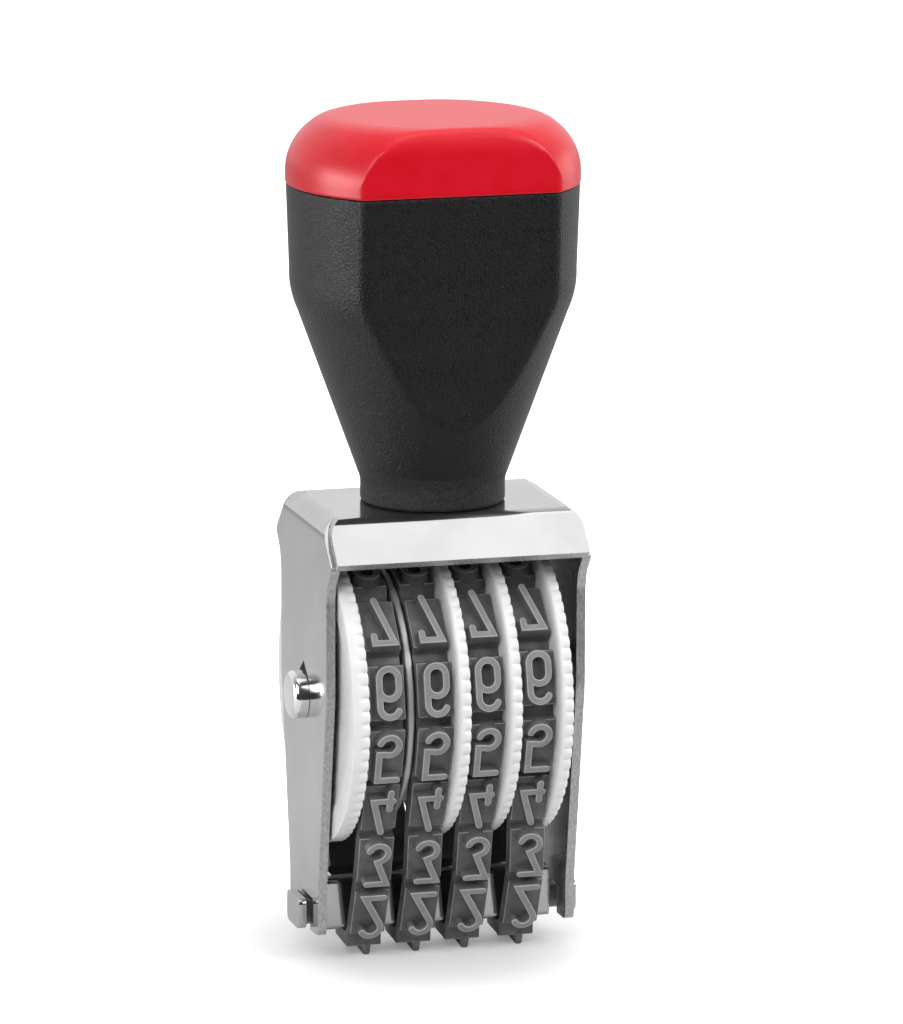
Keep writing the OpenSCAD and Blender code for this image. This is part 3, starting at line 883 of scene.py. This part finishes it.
def bow(mid_y, first, last):
    """Centre line round a digit's full width, between two angles in degrees."""
    steps = 14
    line = []
    for i in range(steps + 1):
        a = math.radians(first + (last - first) * i / steps)
        line.append((DX * math.cos(a), mid_y + DX * math.sin(a)))
    return line


def oval(mid_y, half_h):
    """Closed centre line of a loop with straight sides and round ends."""
    straight = half_h - DX
    return bow(mid_y + straight, 0, 180) + bow(mid_y - straight, 180, 360)


def digit_strokes():
    """The digits 0 to 9, each a list of strokes: (centre line, closed)."""
    zero = [(oval(0, DY), True)]
    stem = 0.4
    one = [([(stem - DX, DY - 1.5), (stem, DY), (stem, -DY)], False)]
    two = [(bow(DY - DX, 152, -32) + [(-DX, -DY), (DX, -DY)], False)]
    three = [([(-DX, DY), (DX, DY), (-0.1, 2.1 * DX - DY)] + bow(DX - DY, 70, -160), False)]
    foot = 0.42 * DY
    bar = foot - DY
    post = 0.7 * DX
    four = [([(0, DY), (-DX, bar), (DX, bar)], False), ([(post, bar + foot), (post, -DY)], False)]
    bowl = DX - DY
    five = [([(DX, DY), (-DX, DY), (-DX, bowl + DX - 0.15)] + bow(bowl, 112, -160), False)]
    loop_h = 1.95
    loop = loop_h - DY
    six = [(oval(loop, loop_h), True), (bow(DY - DX, 25, 180) + [(-DX, loop)], False)]
    seven = [([(-DX, DY - 1.1), (-DX, DY), (DX, DY), (-DX * 0.35, -DY)], False)]
    eight = [(oval(DY / 2, DY / 2), True), (oval(-DY / 2, DY / 2), True)]
    nine = [([(-x, -y) for x, y in line], closed) for line, closed in six]
    return [zero, one, two, three, four, five, six, seven, eight, nine]


def left_of(direction):
    return Vector((-direction.y, direction.x))


def side_normals(points, closed):
    """Left-hand normals along a centre line, longer at its corners, where two sides meet in a mitre."""
    least_cosine = 0.45
    count = len(points)
    normals = []
    for i in range(count):
        before = points[i] - points[i - 1] if closed or i else points[1] - points[0]
        after = points[(i + 1) % count] - points[i] if closed or i < count - 1 else before
        side = left_of(after.normalized())
        turn = (left_of(before.normalized()) + side).normalized()
        normals.append(turn / max(turn.dot(side), least_cosine))
    return normals


def end_arc(middle, side, offset):
    """Points round the end of a stroke, from the side that its normal shows to the other."""
    steps = 8
    across = side.normalized()
    out = -left_of(across)
    arc = []
    for i in range(1, steps):
        a = math.pi * i / steps
        arc.append(middle + offset * (across * math.cos(a) + out * math.sin(a)))
    return arc


def stroke_solid(line, closed):
    """A drafted ridge along a centre line, whose z is height above the pad."""
    points = [Vector(p) for p in line]
    normals = side_normals(points, closed)
    lefts = []
    rights = []
    for offset, height in STROKE_SECTION:
        left = [p + offset * n for p, n in zip(points, normals)]
        right = [p - offset * n for p, n in zip(points, normals)]
        if not closed:
            left += end_arc(points[-1], normals[-1], offset) + list(reversed(right))
            left += end_arc(points[0], -normals[0], offset)
        lefts.append([(p.x, p.y, height) for p in left])
        rights.append([(p.x, p.y, height) for p in right])
    rings = lefts + list(reversed(rights)) if closed else lefts
    columns = len(rings[0])
    faces = skin_faces(len(rings), columns, ring=closed)
    if not closed:
        bottom, top = end_faces(len(rings), columns)
        faces += [bottom[::-1], top]
    return solid([point for ring in rings for point in ring], faces)


def digit_meshes():
    """The raised digits 0 to 9 in millimetres, each round its own middle."""
    meshes = []
    for strokes in digit_strokes():
        first, *others = [stroke_solid(*stroke) for stroke in strokes]
        meshes.append(combined(first, [("UNION", work) for work in others]))
    return meshes


def pad_frame(x, i, lag):
    """Matrix that stands a drawing on the top of pad i, with its Z out of the band."""
    point, turn = belt_place(i * PAD_PITCH, lag)
    out = normal(turn)
    top = point + BASE_T * out
    matrix = Matrix((Vector((1, 0, 0)), -travel(turn), out)).transposed().to_4x4()
    matrix.translation = Vector((x, top.y, top.z))
    return matrix


def edge_highlight_mark(point, frames):
    """The mark of a band's body for the painted highlight: 0.5 on the rounded edges of the pads' tops.
    """
    lowest = -0.12
    highest = -0.01
    nearest = min(frames, key=lambda m: (m.translation.yz - point.yz).length)
    height = (nearest.inverted() @ point).z
    return 0.5 if lowest < height < highest else 0.0


def print_and_highlight_mark(height):
    """A digit's mark at a height over the pad: 1 on its face, for worn ink and partly a painted sheen,
    and 0.5 on its rounded top edge, for a painted highlight.
    """
    face_z = RELIEF - 0.003
    edge_z = RELIEF - 0.1
    if height > face_z:
        return 1.0
    return 0.5 if height > edge_z else 0.0


def drift(point, most):
    """How far a band has run sideways at a point below its wheel; its back has run further."""
    start_z = 24
    most_behind = 0.35
    below = start_z - point.z
    back = most_behind * round_blend(0, 1, point.y / 3) * round_blend(0, 1, below / 4)
    return most * round_blend(0, 1, below / 15) + back


def make_band(index, finish, digits):
    """A band whose first ten pads, up its front and over its wheel, carry 1 to 9 and 0."""
    node = f"number_band_{index}"
    name = f"rubber_band_{index}"
    low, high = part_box(node)
    x = (low.x + high.x) / 2 / MM
    lag = PAD_LAGS[index - 1]
    frames = [pad_frame(x, i, lag) for i in range(PADS)]
    work = band_body(x, lag)
    marks = [edge_highlight_mark(v.co, frames) for v in work.verts]
    for i in range(10):
        first = len(work.verts)
        digit = digits[(i + 1) % 10]
        work.from_mesh(digit)
        work.verts.ensure_lookup_table()
        bmesh.ops.transform(work, matrix=frames[i], verts=work.verts[first:])
        marks += [print_and_highlight_mark(v.co.z) for v in digit.vertices]
    for v in work.verts:
        v.co.x += drift(v.co, DRIFTS[index - 1])
    bmesh.ops.scale(work, vec=(MM, MM, MM), verts=work.verts)
    mesh = closed_up(work, name)
    # The mark carries the painted highlight on the rounded edges and the lighter digit faces
    print_and_highlight = mesh.attributes.new("print", "FLOAT", "POINT")
    for i, value in enumerate(marks):
        print_and_highlight.data[i].value = value
    face_outwards(mesh)
    shade(mesh, 32)
    place_piece(name, mesh, [finish], "stamp", node)


# ---------------------------------------------------------------- frame

FOOT_Z = 3.9
LIP_HALF = FRAME_W / 2 - 0.6
# The frame's finishes, in the order of its material slots; the last is painted shade for the plates'
# inner faces
PLATED, SHEARED, INNER_SHADE = range(3)


def channel_outline():
    """Front view of the side plates and the top."""
    open_z = FOOT_Z - 1
    outside = [(FRAME_W / 2, open_z, 0), (FRAME_W / 2, FRAME_TOP, 2.7)]
    inside = [(-INNER_X, open_z, 0), (-INNER_X, TOP_UNDER, 1.5)]
    return rounded(mirrored(outside) + mirrored(inside), 10)


def side_outline():
    """Side view of a side plate."""
    top_half = 8.53
    waist = 11.7
    return rounded(mirrored([
        (top_half, FRAME_TOP + 1, 0), (top_half, FRAME_TOP, 0), (14.33, 54.4, 0.6), (12.3, 52.0, 3.0),
        (waist, 49.6, 3.0), (waist, 36.6, 14), (7.3, 10, 0), (7.2, FOOT_Z, 1.0)]), 8)


def lips_outline():
    """Side view of the top with its slanted lips."""
    drop = 5.0
    bend_y = 10.3
    # How far the sheet's inner face is inside its outer one, at a lip's tip and at the bend
    tip_inset = 0.85
    bend_inset = 0.5
    tip_y = bend_y + drop
    tip_z = FRAME_TOP - drop
    above = [(-tip_y, tip_z, 0), (-bend_y, FRAME_TOP, 2.3)]
    below = [(tip_y - tip_inset, tip_z - tip_inset, 0), (bend_y - bend_inset, TOP_UNDER, 1.1)]
    return rounded(mirrored(above) + mirrored(below), 10)


def axle_hole_outline():
    """A round hole drawn up to a point."""
    hole_r = 3.3
    steps = 24
    middle_z = AXLE_Z + 0.35
    point_z = AXLE_Z + 4.5
    side = math.acos(hole_r / (point_z - middle_z))
    outline = [(0.0, point_z)]
    for i in range(steps + 1):
        a = side + (2 * math.pi - 2 * side) * i / steps
        outline.append((hole_r * math.sin(a), middle_z + hole_r * math.cos(a)))
    return outline


def box_outline(a_low, a_high, b_low, b_high):
    return [(a_low, b_low), (a_high, b_low), (a_high, b_high), (a_low, b_high)]


def frame_mesh():
    """Side plates and top cut from a channel, with lips, holes and notches."""
    wide = FRAME_W / 2 + 1
    deep = 20
    under = TOP_UNDER - 1
    over = FRAME_TOP + 1
    notch_half = 3.2
    notch_top = 7.75
    screw_hole_r = 2.6
    pip_r = 1.25
    pip_x = 6.9
    slit_half = 8.4
    slit_x = 14.6
    slit_w = 4.0
    low = 50
    high = 70
    side_shape = prism(side_outline(), X, -wide, wide)
    sides = combined(prism(channel_outline(), Y, -deep, deep), [("INTERSECT", side_shape)])
    lip_ends = rounded(mirrored([(LIP_HALF, low, 0), (LIP_HALF, FRAME_TOP + 0.1, 2.3)]))
    trims = [("INTERSECT", prism(lip_ends, Y, -deep, deep))]
    for x in (-slit_x - slit_w, slit_x):
        slit = box_outline(x, x + slit_w, low, high)
        trims.append(("DIFFERENCE", prism(slit, Y, -slit_half, slit_half)))
    lips = combined(prism(lips_outline(), X, -wide, wide), trims)
    notch = box_outline(-notch_half, notch_half, 0, notch_top)
    cuts = [prism(axle_hole_outline(), X, -wide, wide), prism(notch, X, -wide, wide),
            prism(round_outline((0, 0), screw_hole_r), Z, under, over)]
    cuts += [prism(round_outline((x, 0), pip_r), Z, under, over) for x in (-pip_x, pip_x)]
    steps = [("UNION", opened(lips))] + [("DIFFERENCE", work) for work in cuts]
    return in_metres(combined(opened(sides), steps))


def frame_face(middle, direction):
    """Which finish a face of the frame has, from its middle in millimetres and its direction."""
    near = 0.05
    plate_z = FRAME_TOP - 2
    lip_y = 13
    out = abs(middle.x)
    sideways = abs(direction.x)
    plate = INNER_X < out < FRAME_W / 2 and middle.z < plate_z and sideways < 0.4
    lip_side = LIP_HALF - 0.3 < out < LIP_HALF + near and sideways > 0.9
    lip_end = abs(middle.y) > lip_y and direction.z < -0.5 and direction.y * middle.y > 0
    if plate or lip_side or lip_end:
        return SHEARED
    # The plates' inner faces take the painted shade
    inside = abs(out - INNER_X) < near and direction.x * middle.x < 0
    return INNER_SHADE if inside else PLATED


# ---------------------------------------------------------------- platen and the whole stamp

def platen_mesh():
    """A block between the side plates, with a neck and a head at each end."""
    half = 3.15
    low_z = 3.5
    end_x = 15.3
    head_w = 1.05
    head_x = 17.95
    neck_x = 18.4
    neck_half = 1.6
    block = rounded(mirrored([(half, low_z, 0.8), (half, 10.9, 1.2)]))
    ends = rounded(mirrored([(end_x, low_z - 0.1, 0), (end_x, 11.0, 1.5)]))
    neck = box_outline(-neck_half, neck_half, 4.2, 7.3)
    head = rounded(mirrored([(half, FOOT_Z, 1.1), (half, 8.0, 0.8)]))
    steps = [("INTERSECT", prism(ends, Y, -5, 5)), ("UNION", prism(neck, X, -neck_x, neck_x))]
    steps += [("UNION", prism(head, X, x, x + head_w)) for x in (-head_x - head_w, head_x)]
    return in_metres(combined(prism(block, X, -18, 18), steps))


def make_stamp():
    sheet = plated_sheet()
    make_dressed("bent_frame", frame_mesh(), 0.14, [sheet, sheared_metal(), painted_shade_sheet()],
                 "frame", frame_face)
    make_dressed("platen", platen_mesh(), 0.16, [sheet], "platen_bar")
    make_axle()
    plain_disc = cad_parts["divider_disc"].data.copy()
    make_dressed("divider", plain_disc, 0.08, [disc_metal()], "divider_disc")
    steel = plain_steel()
    white = white_plastic()
    for node in ("thrust_washer", "handle_screw", "screw_washer"):
        repaint(node, steel)
    repaint("spacer_bush", white)
    make_handle()
    make_cap()
    for i in range(1, 5):
        make_wheel(i, white)
    rubber = band_rubber()
    digits = digit_meshes()
    for i in range(1, 5):
        make_band(i, rubber, digits)
    for mesh in digits:
        bpy.data.meshes.remove(mesh)


# ---------------------------------------------------------------- studio

def make_camera():
    """A long lens in front and a little to the left."""
    azimuth = math.radians(-15.74)
    elevation = math.radians(11.7)
    roll = math.radians(0.12)
    aim = Vector((2.54, -0.21, 58.29)) * MM
    distance = 1.0
    data = bpy.data.cameras.new("camera")
    data.lens = 267.97
    data.sensor_width = 36
    data.clip_start = 0.01
    camera = bpy.data.objects.new("camera", data)
    bpy.context.scene.collection.objects.link(camera)
    level = math.cos(elevation)
    back = Vector((math.sin(azimuth) * level, -math.cos(azimuth) * level, math.sin(elevation)))
    camera.location = aim + back * distance
    camera.rotation_mode = "QUATERNION"
    upright = (-back).to_track_quat("-Z", "Y").to_matrix()
    camera.rotation_quaternion = (upright @ Matrix.Rotation(roll, 3, "Z")).to_quaternion()
    bpy.context.scene.camera = camera


def add_light(name, place_mm, size_mm, radiance, only_mirrored=False):
    """A softbox of even brightness that looks at the stamp; a radiance of 1 is white."""
    aim = Vector((0, 0, 60))
    data = bpy.data.lights.new(name, "AREA")
    data.shape = "RECTANGLE"
    data.size = size_mm[0] * MM
    data.size_y = size_mm[1] * MM
    data.energy = radiance * math.pi * data.size * data.size_y
    light = bpy.data.objects.new(name, data)
    bpy.context.scene.collection.objects.link(light)
    light.visible_diffuse = not only_mirrored
    light.location = Vector(place_mm) * MM
    light.rotation_euler = (aim - Vector(place_mm)).to_track_quat("-Z", "Y").to_euler()


def make_floor():
    """A white table that keeps the stamp's shadow, runs out into white and ends in front."""
    half = 3.0
    front = -0.12
    finish = Finish("white_floor", (0.68, 0.68, 0.68), 0.6)
    seen = finish.in_view(in_mirrors=0.04)
    away = finish.node("ShaderNodeVectorMath", {"operation": "LENGTH"}, (finish.place(),), "Value")
    finish.set("Emission Color", (1, 1, 1))
    finish.set("Emission Strength", seen * (0.22 + 0.78 * away.step(12 * MM, 55 * MM)))
    mesh = bpy.data.meshes.new("floor")
    corners = [(x, y, 0) for x, y in box_outline(-half, half, front, half)]
    mesh.from_pydata(corners, [], [(0, 1, 2, 3)])
    mesh.materials.append(finish.material)
    floor = bpy.data.objects.new("floor", mesh)
    bpy.context.scene.collection.objects.link(floor)


def make_world():
    """White behind and over the stamp and dim in front of it; the camera sees it white."""
    world = bpy.data.worlds.new("studio")
    bpy.context.scene.world = world
    world.use_nodes = True
    graph = Graph(world.node_tree)
    direction = graph.node("ShaderNodeTexCoord", output="Generated")
    depth = graph.node("ShaderNodeSeparateXYZ", {}, (direction,), "Y")
    behind = (depth + 0.15 * depth.beside("Z")).step(-0.5, 0.9)
    level = (0.05 + 0.95 * behind).most(graph.in_view(in_mirrors=behind))
    graph.plug(graph.tree.nodes["Background"].inputs["Color"], level)


def make_studio():
    make_camera()
    make_world()
    make_floor()
    add_light("overhead", (90, -120, 640), (480, 440), 1.5)
    add_light("left", (-400, -460, 420), (500, 460), 3.9)
    add_light("right", (480, -400, 420), (500, 460), 4.6)
    add_light("left_side", (-600, -20, 110), (460, 260), 9.0, only_mirrored=True)
    add_light("right_side", (560, 200, 110), (300, 260), 1.8, only_mirrored=True)
    bpy.context.scene.view_settings.view_transform = "Standard"


make_studio()
make_stamp()
